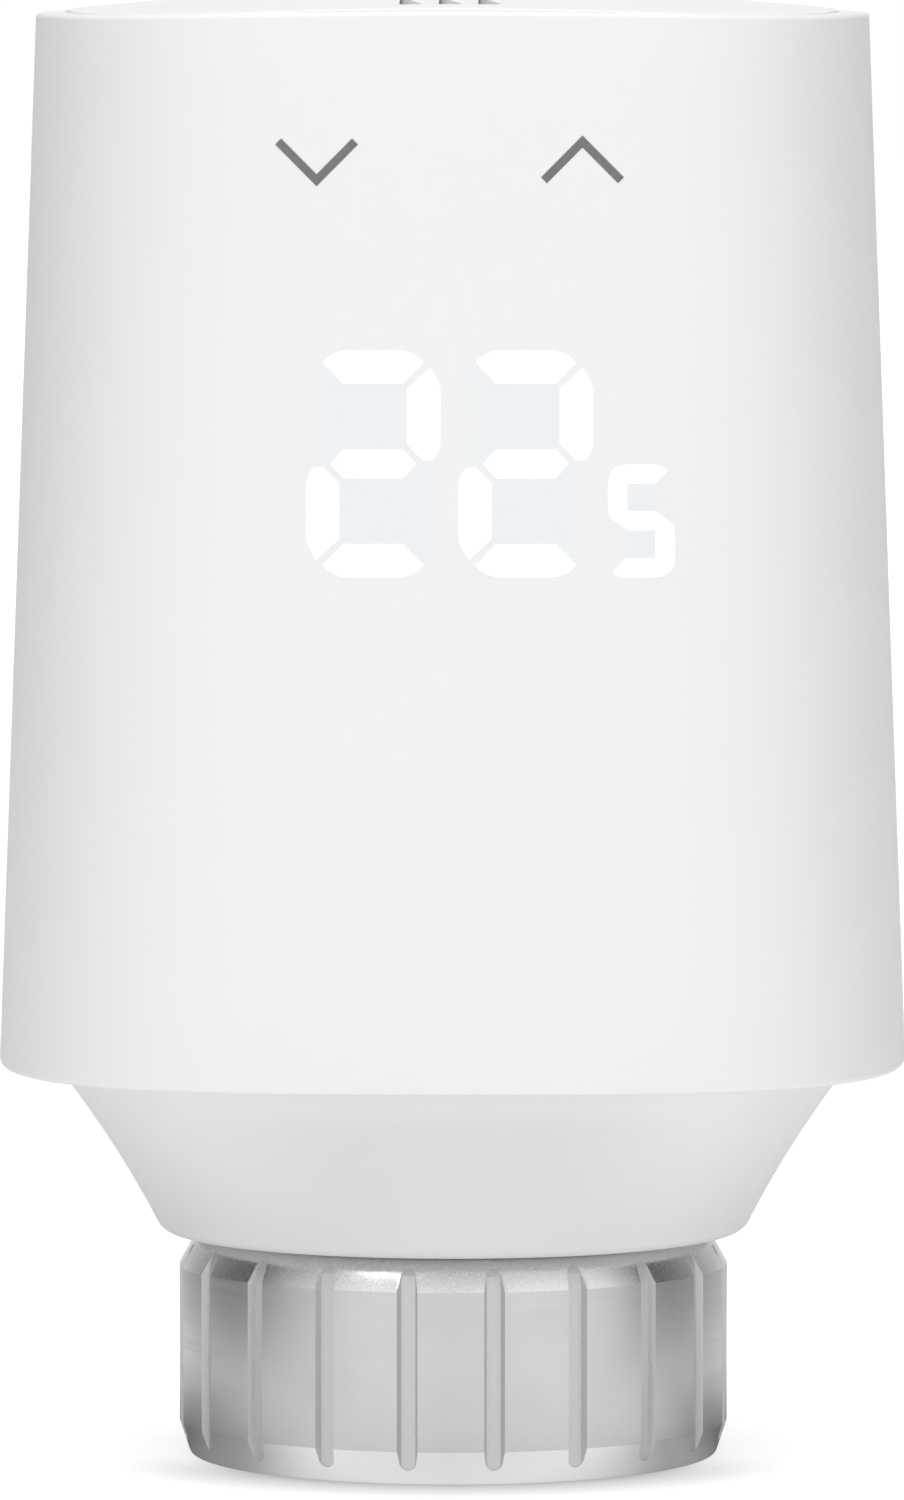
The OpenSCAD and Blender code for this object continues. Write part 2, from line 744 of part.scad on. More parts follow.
module board_chips() {
    back_y = board_y + board_t;
    color("black") translate([2, back_y, digit_z + 4]) cube([5, 1, 5]);
    color("black") translate([9, back_y, digit_z + 5]) cube([3.5, 0.9, 3]);
    color("tan") for (k = [0 : 3]) translate([2 + 2.2 * k, back_y, digit_z + 11]) cube([1.2, 0.6, 0.7]);
}

// A segment as a bar with pointed ends, along X
module bar(length, width) {
    polygon([
        [-length / 2, 0], [-length / 2 + width / 2, width / 2], [length / 2 - width / 2, width / 2],
        [length / 2, 0], [length / 2 - width / 2, -width / 2], [-length / 2 + width / 2, -width / 2]
    ]);
}

// The seven segments of one digit, centred, in the XY plane
module seven_segments(w, h, stroke_w) {
    gap = 0.35;
    across = w - stroke_w - gap;
    down = (h - stroke_w) / 2 - gap;
    for (k = [-1, 0, 1])
        translate([0, k * (h - stroke_w) / 2]) bar(across, stroke_w);
    for (x = [-1, 1], k = [-1, 1])
        translate([x * (w - stroke_w) / 2, k * (h - stroke_w) / 4]) rotate(90) bar(down, stroke_w);
}

module digits(y, depth, grow = 0) {
    low_z = digit_z - digit_h / 2;
    translate([0, y, 0]) rotate([90, 0, 0]) linear_extrude(depth) {
        for (x = [-digit_pitch / 2, digit_pitch / 2])
            translate([x, digit_z]) seven_segments(digit_w + grow, digit_h + grow, 2 + grow);
        translate([small_digit_x, low_z + small_digit_h / 2])
            seven_segments(small_digit_w + grow, small_digit_h + grow, 1.2 + grow);
    }
}

display_front_y = board_y - 4;

module display_reflector() {
    left = -digit_pitch / 2 - digit_w / 2 - 1.5;
    right = small_digit_x + small_digit_w / 2 + 1.5;
    color("white") difference() {
        translate([left, display_front_y, digit_z - digit_h / 2 - 1.8])
            cube([right - left, board_y - display_front_y, digit_h + 3.6]);
        digits(display_front_y + 3.4, 4, 0.06);
    }
}

module display_segments() {
    color("aliceblue") digits(display_front_y + 0.8, 0.8);
}

module touch_spring(x) {
    wall_y = -(shell_half(key_z) - shell_wall);
    reach = board_y - wall_y - 0.9;
    color("silver") translate([x, board_y, key_z]) rotate([90, 0, 0]) {
        tube(2.2, 1.9, reach);
        translate([0, 0, reach - 0.3]) cylinder(r = 3, h = 0.4);
        for (k = [0 : 4])
            translate([0, 0, 0.5 + k * (reach - 1) / 4]) rotate_extrude() translate([2.3, 0]) circle(r = 0.3);
    }
}

module temperature_sensor() {
    lead_z = board_z + 1.5;
    color("black") translate([-8, board_y - 2.6, lead_z]) sphere(r = 0.95);
    color("silver") for (x = [-8.45, -7.55])
        translate([x, board_y, lead_z]) rotate([90, 0, 0]) cylinder(r = 0.2, h = 2.3);
}

main_shell();
battery_cover();
cover_contact_bridge();
lower_collar();
union_nut();
neck_bush();
neck_retaining_ring();
gearbox_base();
gearbox_lid();
thrust_washer();
drive_gear();
second_gear();
first_gear();
gear_axle(second_xy);  // second_gear_axle
gear_axle(first_xy);  // first_gear_axle
plunger();
plunger_tip();
motor_can();
motor_magnets();
motor_end_cap();
motor_terminals();
motor_armature();
motor_shaft();
motor_pinion();
base_screws();
lid_screws();
battery_tray();
battery_left();
battery_right();
cell_spring_contact();
cell_plate_contact();
circuit_board();
radio_module();
display_reflector();
display_segments();
touch_spring(-key_x);  // touch_spring_down
touch_spring(key_x);  // touch_spring_up
temperature_sensor();
board_chips();
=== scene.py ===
"""Visual model of an electronic radiator thermostat head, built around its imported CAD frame.

Lengths are in millimetres in the outlines below and are turned into metres when meshes are made.
"""
import json
import math

import bmesh
import bpy
from mathutils import Matrix, Vector


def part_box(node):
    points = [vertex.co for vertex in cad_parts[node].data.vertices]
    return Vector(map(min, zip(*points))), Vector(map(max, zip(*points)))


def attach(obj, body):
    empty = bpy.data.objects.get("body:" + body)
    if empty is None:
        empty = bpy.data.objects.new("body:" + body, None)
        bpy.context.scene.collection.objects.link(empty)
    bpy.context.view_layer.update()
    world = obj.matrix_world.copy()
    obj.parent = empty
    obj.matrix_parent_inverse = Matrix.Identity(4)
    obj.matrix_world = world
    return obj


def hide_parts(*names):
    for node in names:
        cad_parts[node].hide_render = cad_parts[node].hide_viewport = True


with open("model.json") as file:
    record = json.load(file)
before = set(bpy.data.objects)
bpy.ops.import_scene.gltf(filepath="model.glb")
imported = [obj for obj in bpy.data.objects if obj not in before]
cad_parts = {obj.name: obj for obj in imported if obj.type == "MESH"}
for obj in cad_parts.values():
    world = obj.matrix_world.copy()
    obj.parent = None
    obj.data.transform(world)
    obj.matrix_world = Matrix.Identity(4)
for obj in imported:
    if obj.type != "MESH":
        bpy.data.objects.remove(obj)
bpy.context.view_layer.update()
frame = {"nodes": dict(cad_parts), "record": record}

MM = 0.001

# ---- Sizes shared with the CAD model, read from its nodes where they can be ----

SQUARENESS = 3.2
CROWN_R = 230.0
RIM_W = 1.85
COVER_GAP = 0.12
WALL = 1.6
LEDGE_W = 1.05
LEDGE_T = 1.5
COVER_EDGE_T = 1.6
SKIRT_H = 3.2
SKIRT_T = 1.2
NOTCH_W = 1.4
NOTCH_PITCH = 2.36
NOTCH_LEN = 5.5
NOTCH_DEPTH = 0.5
NOTCH_INSET = 2.7


def low(node):
    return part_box(node)[0] / MM


def high(node):
    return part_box(node)[1] / MM


HALF_LOW = high("main_shell").x
SHELL_Z = low("main_shell").z
CROWN_Z = high("battery_cover").z
COVER_HALF = high("battery_cover").x + COVER_GAP
HALF_TOP = COVER_HALF + RIM_W
EDGE_Z = CROWN_Z - HALF_TOP ** 2 / (2 * CROWN_R)
TAPER = (HALF_LOW - HALF_TOP) / (EDGE_Z - SHELL_Z)
COVER_SEAT_Z = CROWN_Z - COVER_HALF ** 2 / (2 * CROWN_R) - COVER_EDGE_T
COLLAR_Z = low("lower_collar").z
LIP_TOP_Z = high("lower_collar").z
LIP_HALF = high("lower_collar").x
COLLAR_H = SHELL_Z - COLLAR_Z
COLLAR_R = 18.1
COLLAR_INSET = 3.35
COLLAR_HALF = HALF_LOW - COLLAR_INSET
COLLAR_CURVE = 0.2
COLLAR_WALL = 1.7
COLLAR_FLOOR = 2.0
NUT_R = high("union_nut").x
NUT_H = high("union_nut").z
THREAD_R = 14.19
THREAD_LEN = 8.0
THREAD_Z = 0.6
THREAD_PITCH = 1.5
THREAD_ROOT_R = 15.0
NECK_R = 12.58
GROOVES = 20
GROOVE_W = 1.27
GROOVE_FLOOR_W = 0.87
GROOVE_DEPTH = 0.42
GROOVE_LOW = 0.9
GROOVE_HIGH = 13.15
BOSS_R = 1.7
BOSS_HOLE_R = 0.9
BOSS_PLACE_R = 15.6
BOSS_ANGLES = (50, 130, 240, 300)
DIGIT_PITCH = 9.08
DIGIT_Z = 62.47
SMALL_X = 11.43
SMALL_Z = 59.07
KEY_X = 7.9
KEY_Z = 80.45
PRINT_PROUD = 0.012
PRINT_SUNK = 0.25


def shell_half(z):
    return HALF_LOW - TAPER * (z - SHELL_Z)


# ---- Meshes ----

LOFT_STEPS = 288


def plan_r(half, n, a):
    """Radius at an angle of a rounded square. It is a circle when n is 2, and squarer as n grows."""
    return half / (abs(math.cos(a)) ** n + abs(math.sin(a)) ** n) ** (1 / n)


def ring(half, z, n=SQUARENESS, share=0.0):
    """A ring of a loft: its half width, height, squareness and its share of the crown."""
    return (half, z, n, share)


def ring_points(rg, steps):
    half, z, n, share = rg
    points = []
    for i in range(steps):
        a = 2 * math.pi * i / steps
        r = plan_r(half, n, a)
        points.append((r * math.cos(a), r * math.sin(a), z - share * r * r / (2 * CROWN_R)))
    return points


def new_object(name, verts, faces):
    mesh = bpy.data.meshes.new(name)
    mesh.from_pydata([Vector(v) * MM for v in verts], [], faces)
    mesh.validate()
    obj = bpy.data.objects.new(name, mesh)
    bpy.context.scene.collection.objects.link(obj)
    face_outwards(obj)
    smooth(obj)
    return obj


def face_outwards(obj):
    bm = bmesh.new()
    bm.from_mesh(obj.data)
    bmesh.ops.recalc_face_normals(bm, faces=bm.faces)
    bm.to_mesh(obj.data)
    bm.free()


def smooth(obj, sharp=30):
    """Smooth shading, except across edges sharper than the angle in degrees."""
    obj.data.shade_smooth()
    obj.data.set_sharp_from_angle(angle=math.radians(sharp))


def loft(name, rings, loop=False):
    """A loft through rings. It closes on itself, or by a fan to the middle of its last ring and first."""
    steps = LOFT_STEPS
    verts = [p for rg in rings for p in ring_points(rg, steps)]
    count = len(rings)
    faces = []
    for k in range(count if loop else count - 1):
        a = k * steps
        b = (k + 1) % count * steps
        for i in range(steps):
            j = (i + 1) % steps
            faces.append((a + i, a + j, b + j, b + i))
    if not loop:
        for base, rg in ((0, rings[0]), ((count - 1) * steps, rings[-1])):
            middle = len(verts)
            verts.append((0, 0, rg[1]))
            faces += [(base + i, base + (i + 1) % steps, middle) for i in range(steps)]
    return new_object(name, verts, faces)


def fillet(half, z, r, start, end, steps=6, n=SQUARENESS, share=0.0):
    """Rings around an edge: the arc's centre is r inside (half, z), and angles are in degrees."""
    out = []
    for k in range(steps + 1):
        a = math.radians(start + (end - start) * k / steps)
        out.append(ring(half + r * math.cos(a), z + r * math.sin(a), n, share))
    return out


def revolve(name, profile, radius=None, steps=360):
    """A closed profile of (r, z) turned about Z; radius(r, z, angle) may change each point's radius."""
    verts = []
    angles = [2 * math.pi * i / steps for i in range(steps)]
    for r, z in profile:
        for a in angles:
            rr = radius(r, z, a) if radius else r
            verts.append((rr * math.cos(a), rr * math.sin(a), z))
    count = len(profile)
    faces = []
    for k in range(count):
        a = k * steps
        b = (k + 1) % count * steps
        for i in range(steps):
            j = (i + 1) % steps
            faces.append((a + i, a + j, b + j, b + i))
    return new_object(name, verts, faces)


# ---- Node materials ----

class Nodes:
    """A node tree with a few short ways to add nodes."""

    def __init__(self, tree):
        self.tree = tree

    def link(self, a, b):
        self.tree.links.new(a, b)

    def node(self, kind, **props):
        made = self.tree.nodes.new("ShaderNode" + kind)
        for key, value in props.items():
            setattr(made, key, value)
        return made

    def feed(self, socket, value):
        """Give a socket a constant, a colour or another node's output."""
        if isinstance(value, tuple):
            socket.default_value = (*value, 1.0)
        elif isinstance(value, (int, float)):
            socket.default_value = value
        else:
            self.link(value, socket)

    def math(self, operation, a, b=0.0):
        made = self.node("Math", operation=operation)
        self.feed(made.inputs[0], a)
        self.feed(made.inputs[1], b)
        return made.outputs[0]

    def split(self, vector):
        made = self.node("SeparateXYZ")
        self.link(vector, made.inputs[0])
        return made.outputs

    def spread(self, value, low_from, high_from, low_to, high_to, kind="SMOOTHSTEP"):
        made = self.node("MapRange", interpolation_type=kind)
        made.inputs["From Min"].default_value = low_from
        made.inputs["From Max"].default_value = high_from
        made.inputs["To Min"].default_value = low_to
        made.inputs["To Max"].default_value = high_to
        self.link(value, made.inputs["Value"])
        return made.outputs["Result"]

    def ramp(self, value, *stops, interpolation="LINEAR"):
        """A colour ramp whose stops are (position, colour)."""
        made = self.node("ValToRGB")
        made.color_ramp.interpolation = interpolation
        elements = made.color_ramp.elements
        for k, (position, color) in enumerate(stops):
            element = elements[k] if k < 2 else elements.new(position)
            element.position = position
            element.color = (*color, 1.0)
        self.link(value, made.inputs["Fac"])
        return made.outputs["Color"]

    def mix(self, factor, a, b):
        made = self.node("Mix", data_type="RGBA")
        self.feed(made.inputs[0], factor)
        self.feed(made.inputs[6], a)
        self.feed(made.inputs[7], b)
        return made.outputs[2]

    def blend(self, factor, a, b):
        """A number between a and b."""
        made = self.node("Mix", data_type="FLOAT")
        self.feed(made.inputs[0], factor)
        self.feed(made.inputs[2], a)
        self.feed(made.inputs[3], b)
        return made.outputs[0]


class Shader(Nodes):
    """A material's node tree around one Principled BSDF."""

    def __init__(self, name, color, roughness, metallic=0.0, **sockets):
        self.mat = bpy.data.materials.new(name)
        self.mat.use_nodes = True
        super().__init__(self.mat.node_tree)
        self.bsdf = self.tree.nodes["Principled BSDF"]
        self.set("Base Color", (*color, 1.0))
        self.set("Roughness", roughness)
        self.set("Metallic", metallic)
        for key, value in sockets.items():
            self.set(key.replace("_", " "), value)
        self.coords = self.node("TexCoord").outputs["Object"]

    def set(self, socket, value):
        self.bsdf.inputs[socket].default_value = value

    def to(self, socket, output):
        self.link(output, self.bsdf.inputs[socket])

    def axes(self):
        return self.split(self.coords)

    def stretched(self, x, y, z):
        made = self.node("Mapping")
        made.inputs["Scale"].default_value = (x, y, z)
        self.link(self.coords, made.inputs["Vector"])
        return made.outputs["Vector"]

    def noise(self, scale, detail=3.0, roughness=0.55, vector=None):
        made = self.node("TexNoise")
        made.inputs["Scale"].default_value = scale
        made.inputs["Detail"].default_value = detail
        made.inputs["Roughness"].default_value = roughness
        self.link(vector or self.coords, made.inputs["Vector"])
        return made.outputs["Fac"]

    def bump(self, height, distance, strength=1.0):
        made = self.node("Bump")
        made.inputs["Distance"].default_value = distance * MM
        made.inputs["Strength"].default_value = strength
        self.link(height, made.inputs["Height"])
        self.to("Normal", made.outputs["Normal"])
        return made


def grey(value):
    return (value, value, value)


def moulded(name, color, roughness=0.42, grain=1400.0, depth=0.006, shade=0.03):
    """Moulded plastic: fine spark texture, faint flow marks and a little uneven gloss."""
    s = Shader(name, color, roughness)
    flow = s.noise(60.0, 4.0, 0.5)
    darker = tuple(c * (1 - shade) for c in color)
    s.to("Base Color", s.ramp(flow, (0.3, darker), (0.7, color)))
    texture = s.noise(grain, 2.0, 0.6)
    s.to("Roughness", s.spread(texture, 0.3, 0.7, roughness - 0.05, roughness + 0.06))
    s.bump(texture, depth)
    return s


def metal(name, color, roughness=0.25, brush=(1.0, 1.0, 14.0)):
    """Metal with fine drawing marks that run across the stretched axis."""
    s = Shader(name, color, roughness, 1.0)
    marks = s.noise(900.0, 3.0, 0.6, s.stretched(*brush))
    s.to("Roughness", s.spread(marks, 0.3, 0.7, roughness * 0.75, roughness * 1.3))
    stain = s.noise(120.0, 3.0)
    s.to("Base Color", s.ramp(stain, (0.35, tuple(c * 0.92 for c in color)), (0.65, color)))
    s.bump(marks, 0.002)
    return s


# Boxes around the digits: middle x and z, half width and half height
GLOW_BOXES = (
    (-DIGIT_PITCH / 2, DIGIT_Z, 4.2, 7.0),
    (DIGIT_PITCH / 2, DIGIT_Z, 4.2, 7.0),
    (SMALL_X, SMALL_Z, 2.1, 3.5),
)


def shell_material():
    """Satin white shell, with the faint cool glow that the lit digits leave in its wall."""
    s = Shader("white_shell", grey(0.85), 0.5, Specular_IOR_Level=0.4)
    texture = s.noise(2600.0, 2.0, 0.6)
    flow = s.noise(35.0, 3.0, 0.5)
    plain = s.ramp(flow, (0.3, grey(0.85)), (0.7, grey(0.86)))
    x, y, z = s.axes()
    glow = None
    for cx, cz, wide, tall in GLOW_BOXES:
        across = s.math("SUBTRACT", s.math("ABSOLUTE", s.math("SUBTRACT", x, cx * MM)), wide * MM)
        up = s.math("SUBTRACT", s.math("ABSOLUTE", s.math("SUBTRACT", z, cz * MM)), tall * MM)
        inside = s.spread(s.math("MAXIMUM", across, up), -2.2 * MM, 1.0 * MM, 1.0, 0.0)
        glow = inside if glow is None else s.math("MAXIMUM", glow, inside)
    front = s.spread(y, -20 * MM, -18 * MM, 1.0, 0.0)
    glow = s.math("MULTIPLY", glow, front)
    s.to("Base Color", s.mix(glow, plain, (0.826, 0.846, 0.866)))
    s.to("Roughness", s.spread(texture, 0.3, 0.7, 0.46, 0.56))
    s.bump(texture, 0.004)
    return s.mat


def collar_material():
    """Satin white plastic, painted paler toward its sides and up at the shell: painted light that evens out
    the shade there.
    """
    s = moulded("white_collar_painted_light", grey(0.745), 0.5, 2200.0, 0.004)
    x, y, z = s.axes()
    # Painted light: the colour turns paler toward the sides, to offset the shade they get.
    side = s.spread(s.math("ABSOLUTE", x), 6 * MM, 19 * MM, 0.0, 1.0)
    # Painted light: the colour turns paler up near the shell.
    rise = s.spread(z, (SHELL_Z - 3.0) * MM, (SHELL_Z - 0.8) * MM, 0.0, 1.0)
    plain = s.ramp(s.noise(60.0, 4.0, 0.5), (0.3, grey(0.705)), (0.7, grey(0.72)))
    s.to("Base Color", s.mix(side, s.mix(rise, plain, grey(0.775)), grey(0.83)))
    return s.mat


def nickel_material():
    """Nickel plate: fine turning lines on the band, a grainy upper chamfer and a bright lower one.

    The upper chamfer's normals lean down a little, so that it mirrors less of the room overhead.
    """
    s = Shader("nickel_nut", grey(0.72), 0.3, 1.0)
    x, y, z = s.axes()
    band_low = 2.02
    band_high = NUT_H - 1.98
    blend_h = 0.08
    above = s.spread(z, band_high * MM, (band_high + blend_h) * MM, 0.0, 1.0)
    below = s.spread(z, band_low * MM, (band_low + blend_h) * MM, 1.0, 0.0)
    grain = s.noise(6500.0, 3.0, 0.7)
    turning = s.noise(700.0, 4.0, 0.6, s.stretched(0.12, 0.12, 9.0))
    band = s.spread(turning, 0.3, 0.7, 0.3, 0.4)
    chamfer = s.spread(grain, 0.25, 0.75, 0.15, 0.29)
    s.to("Roughness", s.blend(below, s.blend(above, band, chamfer), 0.13))
    tone = s.noise(260.0, 3.0, 0.5)
    band_tone = s.ramp(tone, (0.3, grey(0.585)), (0.7, grey(0.615)))
    bright = s.ramp(grain, (0.3, grey(0.66)), (0.7, grey(0.8)))
    s.to("Base Color", s.mix(below, s.mix(above, band_tone, bright), grey(0.86)))
    lean = s.node("CombineXYZ")
    s.link(s.math("MULTIPLY", above, -0.17), lean.inputs["Z"])
    leaning = s.node("VectorMath", operation="ADD")
    s.link(s.node("NewGeometry").outputs["Normal"], leaning.inputs[0])
    s.link(lean.outputs[0], leaning.inputs[1])
    unit = s.node("VectorMath", operation="NORMALIZE")
    s.link(leaning.outputs[0], unit.inputs[0])
    bump = s.bump(s.blend(below, s.blend(above, turning, grain), turning), 0.005, 0.35)
    s.link(unit.outputs[0], bump.inputs["Normal"])
    return s.mat


def groove_material():
    """The grooves' walls and floors: matt, grainy and lighter than the band at the sides."""
    s = Shader("nickel_groove", grey(0.66), 0.55, 0.85)
    grain = s.noise(6500.0, 3.0, 0.7)
    s.to("Base Color", s.ramp(grain, (0.3, grey(0.58)), (0.7, grey(0.68))))
    s.to("Roughness", s.spread(grain, 0.3, 0.7, 0.46, 0.62))
    s.bump(grain, 0.01, 0.7)
    return s.mat


def lit_material():
    s = Shader("lit_diffuser", (1.0, 1.0, 1.0), 0.45)
    s.set("Emission Color", (0.96, 0.99, 1.0, 1.0))
    s.set("Emission Strength", 0.55)
    s.to("Roughness", s.spread(s.noise(2600.0, 2.0), 0.3, 0.7, 0.42, 0.5))
    return s.mat


def ink_material():
    s = Shader("key_print", grey(0.16), 0.5)
    s.to("Base Color", s.ramp(s.noise(3000.0, 2.0), (0.3, grey(0.15)), (0.7, grey(0.18))))
    s.bump(s.noise(2600.0, 2.0, 0.6), 0.003)
    return s.mat


def board_material():
    """Solder mask with copper tracks that show through it as a lighter, raised pattern."""
    s = Shader("board_green", (0.02, 0.16, 0.07), 0.35)
    bricks = s.node("TexBrick")
    bricks.inputs["Scale"].default_value = 260.0
    bricks.inputs["Mortar Size"].default_value = 0.02
    s.link(s.stretched(1.0, 1.0, 1.6), bricks.inputs["Vector"])
    tracks = bricks.outputs["Fac"]
    s.to("Base Color", s.mix(tracks, (0.02, 0.15, 0.06), (0.05, 0.28, 0.12)))
    s.bump(tracks, 0.03)
    return s.mat


def winding_material():
    s = Shader("copper_winding", (0.7, 0.32, 0.16), 0.3, 0.9)
    wave = s.node("TexWave", bands_direction="Z")
    wave.inputs["Scale"].default_value = 900.0
    s.link(s.coords, wave.inputs["Vector"])
    s.to("Base Color", s.ramp(wave.outputs["Fac"], (0.1, (0.32, 0.12, 0.05)), (0.7, (0.72, 0.34, 0.16))))
    s.bump(wave.outputs["Fac"], 0.05)
    return s.mat


def cell_material():
    """Plain printed jacket: a dark body, one light band and a bare metal end."""
    s = Shader("cell_jacket", (0.03, 0.12, 0.07), 0.28)
    x, y, z = s.axes()
    base, top = low("battery_left").z, high("battery_left").z
    height = s.spread(z, base * MM, top * MM, 0.0, 1.0, "LINEAR")
    made = s.ramp(height, (0.0, grey(0.55)), (0.02, (0.03, 0.12, 0.07)), (0.7, (0.03, 0.12, 0.07)),
                  (0.71, (0.75, 0.72, 0.6)), (0.96, (0.75, 0.72, 0.6)), (0.965, grey(0.55)),
                  interpolation="CONSTANT")
    s.to("Base Color", made)
    s.to("Roughness", s.spread(s.noise(800.0), 0.3, 0.7, 0.2, 0.34))
    return s.mat


MATERIALS = {
    "white_shell": shell_material,
    "nickel_nut": nickel_material,
    "grey_nylon": lambda: moulded("grey_nylon", (0.045, 0.047, 0.05), 0.5, 900.0, 0.01, 0.2).mat,
    "white_nylon": lambda: moulded("white_nylon", (0.72, 0.72, 0.7), 0.45, 900.0, 0.01).mat,
    "gear_plastic": lambda: moulded("gear_plastic", (0.78, 0.75, 0.66), 0.4, 700.0, 0.01).mat,
    "spring_steel": lambda: metal("spring_steel", grey(0.6), 0.25).mat,
    "motor_steel": lambda: metal("motor_steel", grey(0.62), 0.28, (1.0, 1.0, 0.1)).mat,
    "magnet": lambda: moulded("magnet", (0.035, 0.035, 0.038), 0.6, 500.0, 0.03, 0.3).mat,
    "copper_winding": winding_material,
    "brass_part": lambda: metal("brass_part", (0.78, 0.58, 0.26), 0.25).mat,
    "screw_steel": lambda: metal("screw_steel", grey(0.5), 0.3).mat,
    "cell_jacket": cell_material,
    "nickel_contact": lambda: metal("nickel_contact", (0.68, 0.66, 0.62), 0.22).mat,
    "board_green": board_material,
    "shield_tin": lambda: metal("shield_tin", grey(0.66), 0.35, (10.0, 1.0, 1.0)).mat,
    "reflector_white": lambda: moulded("reflector_white", grey(0.85), 0.6, 900.0, 0.01).mat,
    "lit_diffuser": lit_material,
    "black_epoxy": lambda: moulded("black_epoxy", grey(0.02), 0.45, 900.0, 0.01, 0.3).mat,
}
materials = {slot_name: make() for slot_name, make in MATERIALS.items()}


def dress(obj, material):
    obj.data.materials.clear()
    obj.data.materials.append(material)


def place(obj, body, slot_name, material, *nodes):
    """Give a new piece its material and body, and hide the CAD nodes it stands for."""
    dress(obj, material)
    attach(obj, body)
    if nodes:
        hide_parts(*nodes)


def dress_cad_nodes():
    for part in frame["record"]["subparts"]:
        obj = frame["nodes"][part["node"]]
        dress(obj, materials[part["material_slot"]])


# ---- Housing ----

def make_shell():
    edge_round = 0.32
    foot_round = 0.35
    seam_round = 0.16
    seam_lip_w = 0.9
    ledge_slope_h = 1.4
    edge_share = 0.5
    edge_base = EDGE_Z + edge_share * HALF_TOP ** 2 / (2 * CROWN_R)
    inner_top = COVER_SEAT_Z - LEDGE_T - ledge_slope_h
    rings = fillet(HALF_LOW - foot_round, SHELL_Z + foot_round, foot_round, -90, 0)
    wall_steps = 12
    wall_top = edge_base - edge_round
    for k in range(1, wall_steps):
        t = k / wall_steps
        z = SHELL_Z + foot_round + (wall_top - SHELL_Z - foot_round) * t
        rings.append(ring(HALF_LOW + (HALF_TOP - HALF_LOW) * t, z, share=edge_share * t))
    rings += fillet(HALF_TOP - edge_round, wall_top, edge_round, 0, 90, share=edge_share)
    sunk = 0.06
    rings += [ring(COVER_HALF + seam_lip_w, CROWN_Z - sunk / 2, share=1.0)]
    rings += fillet(COVER_HALF + seam_round, CROWN_Z - sunk - seam_round, seam_round, 90, 180, 4, share=1.0)
    rings += [
        ring(COVER_HALF, COVER_SEAT_Z),
        ring(COVER_HALF - LEDGE_W, COVER_SEAT_Z),
        ring(COVER_HALF - LEDGE_W, COVER_SEAT_Z - LEDGE_T),
        ring(shell_half(inner_top) - WALL, inner_top),
        ring(HALF_LOW - WALL, SHELL_Z),
    ]
    place(loft("shell_skin", rings, loop=True), "housing", "white_shell", materials["white_shell"],
          "main_shell")


def make_cover():
    half = COVER_HALF - COVER_GAP
    skirt_gap = 0.3
    skirt_half = COVER_HALF - LEDGE_W - skirt_gap
    under = COVER_SEAT_Z + 0.6
    seat = COVER_SEAT_Z + 0.05
    skirt_z = COVER_SEAT_Z - SKIRT_H
    inner_chamfer = 0.2
    outer_chamfer = 0.3
    edge_round = 0.18
    notch_count = 3
    rings = [
        ring(skirt_half - SKIRT_T, under),
        ring(skirt_half - SKIRT_T, skirt_z + inner_chamfer),
        ring(skirt_half - SKIRT_T + inner_chamfer, skirt_z),
        ring(skirt_half - outer_chamfer, skirt_z),
        ring(skirt_half, skirt_z + outer_chamfer),
        ring(skirt_half, seat),
        ring(half, seat),
    ]
    rings += fillet(half - edge_round, CROWN_Z - edge_round, edge_round, 0, 90, 5, share=1.0)
    dome_steps = 14
    rings += [ring((half - edge_round) * (1 - k / dome_steps), CROWN_Z, share=1.0)
              for k in range(1, dome_steps)]
    cover = loft("cover_skin", rings)
    for k in range(notch_count):
        cut_notch(cover, (k - (notch_count - 1) / 2) * NOTCH_PITCH)
    smooth(cover, 25)
    place(cover, "cover", "white_shell", materials["white_shell"], "battery_cover")


def cut_notch(cover, middle_x):
    """Cut a grip notch with upright walls, three-sided in plan and widest at its front."""
    x0 = middle_x - NOTCH_W / 2
    front = -(COVER_HALF - NOTCH_INSET)
    floor = CROWN_Z - front ** 2 / (2 * CROWN_R) - NOTCH_DEPTH
    plan = ((x0, front), (x0 + NOTCH_W, front), (x0, front + NOTCH_LEN))
    verts = [(x, y, z) for z in (floor, CROWN_Z + 1) for x, y in plan]
    faces = [(0, 2, 1), (3, 4, 5), (0, 1, 4, 3), (1, 2, 5, 4), (2, 0, 3, 5)]
    cutter = new_object("notch_cutter", verts, faces)
    cut_away(cover, cutter)


def cut_away(obj, cutter):
    """Take the cutter out of the object, and remove the cutter."""
    cut = obj.modifiers.new("cut", "BOOLEAN")
    cut.operation = "DIFFERENCE"
    cut.solver = "EXACT"
    cut.material_mode = "TRANSFER"
    cut.object = cutter
    graph = bpy.context.evaluated_depsgraph_get()
    mesh = bpy.data.meshes.new_from_object(obj.evaluated_get(graph))
    obj.modifiers.clear()
    obj.data = mesh
    bpy.data.objects.remove(cutter)


def collar_half(t):
    """Half width of the collar at a share of its height, from 0 at the nut to 1 at the shell."""
    return COLLAR_R + (COLLAR_HALF - COLLAR_R) * ((1 - COLLAR_CURVE) * t + COLLAR_CURVE * t * t)


def collar_ring(t, inset=0.0):
    return ring(collar_half(t) - inset, COLLAR_Z + t * COLLAR_H, 2 + (SQUARENESS - 2) * t)


